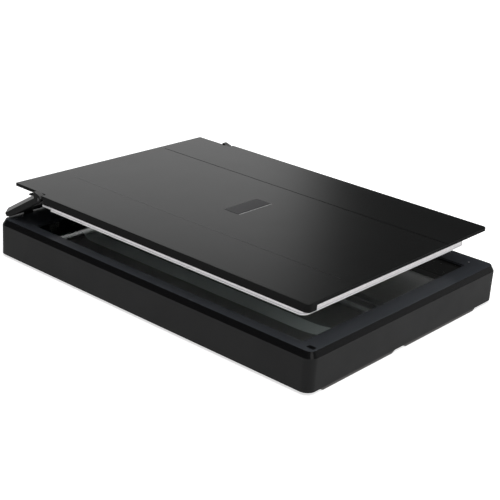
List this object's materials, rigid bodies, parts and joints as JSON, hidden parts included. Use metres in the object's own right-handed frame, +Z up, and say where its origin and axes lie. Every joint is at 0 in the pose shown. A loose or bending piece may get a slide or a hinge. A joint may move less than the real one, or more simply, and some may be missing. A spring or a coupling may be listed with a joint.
{
  "type": "flatbed scanner",
  "caption": "Black flatbed document scanner, its lid raised level on a double rear hinge above the glass; a scan bar on a belt runs under the glass.",
  "frame": {"origin": "on the table under the middle of the base", "axes": "+Z up, +X to the right and +Y to the rear hinge for someone facing the front edge"},
  "size_m": [0.258, 0.351, 0.0682],
  "materials": {
    "shell_black": "satin injection-moulded black plastic with a soft sheen",
    "tray_black": "fine-textured black plastic",
    "foot_rubber": "matte dark grey rubber",
    "screw_steel": "zinc-plated steel",
    "document_glass": "clear float glass, polished",
    "calibration_white": "matte white film",
    "lens_black": "smoked glossy plastic",
    "led_clear": "milky diffuser plastic",
    "mark_grey": "grey inlay",
    "hinge_black": "satin black plastic",
    "pin_steel": "ground steel",
    "socket_metal": "nickel-plated steel",
    "rod_steel": "ground and polished steel rod",
    "motor_steel": "zinc-plated steel can",
    "bracket_steel": "bare pressed steel",
    "belt_rubber": "black neoprene",
    "board_green": "green solder mask",
    "chip_black": "matte epoxy",
    "ribbon_white": "white flat cable with silver tracks",
    "carriage_black": "glass-filled black plastic",
    "module_black": "matte black housing",
    "glide_white": "natural acetal",
    "spring_steel": "spring steel",
    "pulley_black": "black acetal",
    "lid_black": "black plastic with a fine satin grain",
    "badge_grey": "smooth dark grey plate, blank",
    "line_silver": "thin bright metal line",
    "card_grey": "grey backing card",
    "foam_grey": "light grey closed-cell foam",
    "mat_white": "smooth white sheet"
  },
  "bodies": {
    "base": {"top_cover": "shell_black", "bottom_tray": "tray_black", "rubber_feet": "foot_rubber", "tray_screws": "screw_steel", "scan_glass": "document_glass", "calibration_strip": "calibration_white", "indicator_lens": "lens_black", "status_led": "led_clear", "bezel_mark": "mark_grey", "hinge_posts": "hinge_black", "usb_port": "socket_metal", "guide_rod": "rod_steel", "rod_clips": "tray_black", "motor": "motor_steel", "motor_bracket": "bracket_steel", "bracket_screws": "screw_steel", "idler_bracket": "bracket_steel", "drive_belt": "belt_rubber", "main_board": "board_green", "board_components": "chip_black", "board_screws": "screw_steel", "ribbon_cable": "ribbon_white"},
    "carriage": {"carriage_frame": "carriage_black", "cis_module": "module_black", "cis_window": "document_glass", "glide_pads": "glide_white", "module_springs": "spring_steel", "rod_bush": "glide_white", "belt_clamp": "carriage_black"},
    "drive_wheel": {"drive_pulley": "pulley_black"},
    "idler_wheel": {"idler_pulley": "pulley_black"},
    "hinge_axle": {"hinge_axles": "pin_steel"},
    "bridge": {"cover_bridge": "hinge_black", "pivot_pins": "pin_steel"},
    "lid": {"lid_shell": "lid_black", "lid_badge": "badge_grey", "badge_line": "line_silver", "pad_card": "card_grey", "pad_foam": "foam_grey"},
    "mat": {"document_mat": "mat_white"}
  },
  "joints": [
    {"name": "lid_open", "type": "hinge", "parent": "base", "child": "hinge_axle", "pos_m": [0, 0.172, 0.038], "axis": [1, 0, 0], "range_deg": [-80, 0]},
    {"name": "lid_lower", "type": "slide", "parent": "hinge_axle", "child": "lid", "axis": [0, -0.2585, -0.966], "range_m": [0, 0.02634]},
    {"name": "arm_fold", "type": "hinge", "parent": "lid", "child": "bridge", "pos_m": [0, 0.13103, 0.0626], "axis": [1, 0, 0], "range_deg": [0, 32]},
    {"name": "mat_float", "type": "slide", "parent": "lid", "child": "mat", "axis": [0, 0, 1], "range_m": [0, 0.0068], "deforming": ["pad_foam"]},
    {"name": "carriage_slide", "type": "slide", "parent": "base", "child": "carriage", "axis": [0, 1, 0], "range_m": [0, 0.3], "deforming": ["ribbon_cable"]},
    {"name": "drive_spin", "type": "hinge", "parent": "base", "child": "drive_wheel", "pos_m": [0.022, 0.1595, 0.0092], "axis": [0, 0, 1], "range_deg": [-3440, 0]},
    {"name": "idler_spin", "type": "hinge", "parent": "base", "child": "idler_wheel", "pos_m": [0.022, -0.1666, 0.0092], "axis": [0, 0, 1], "range_deg": [-3440, 0]}
  ],
  "couplings": [
    {"joint": "arm_fold", "follows": "lid_lower", "rad_per_m": 21.2},
    {"joint": "mat_float", "follows": "lid_lower", "ratio": 0.2581},
    {"joint": "drive_spin", "follows": "carriage_slide", "rad_per_m": -200},
    {"joint": "idler_spin", "follows": "carriage_slide", "rad_per_m": -200}
  ]
}
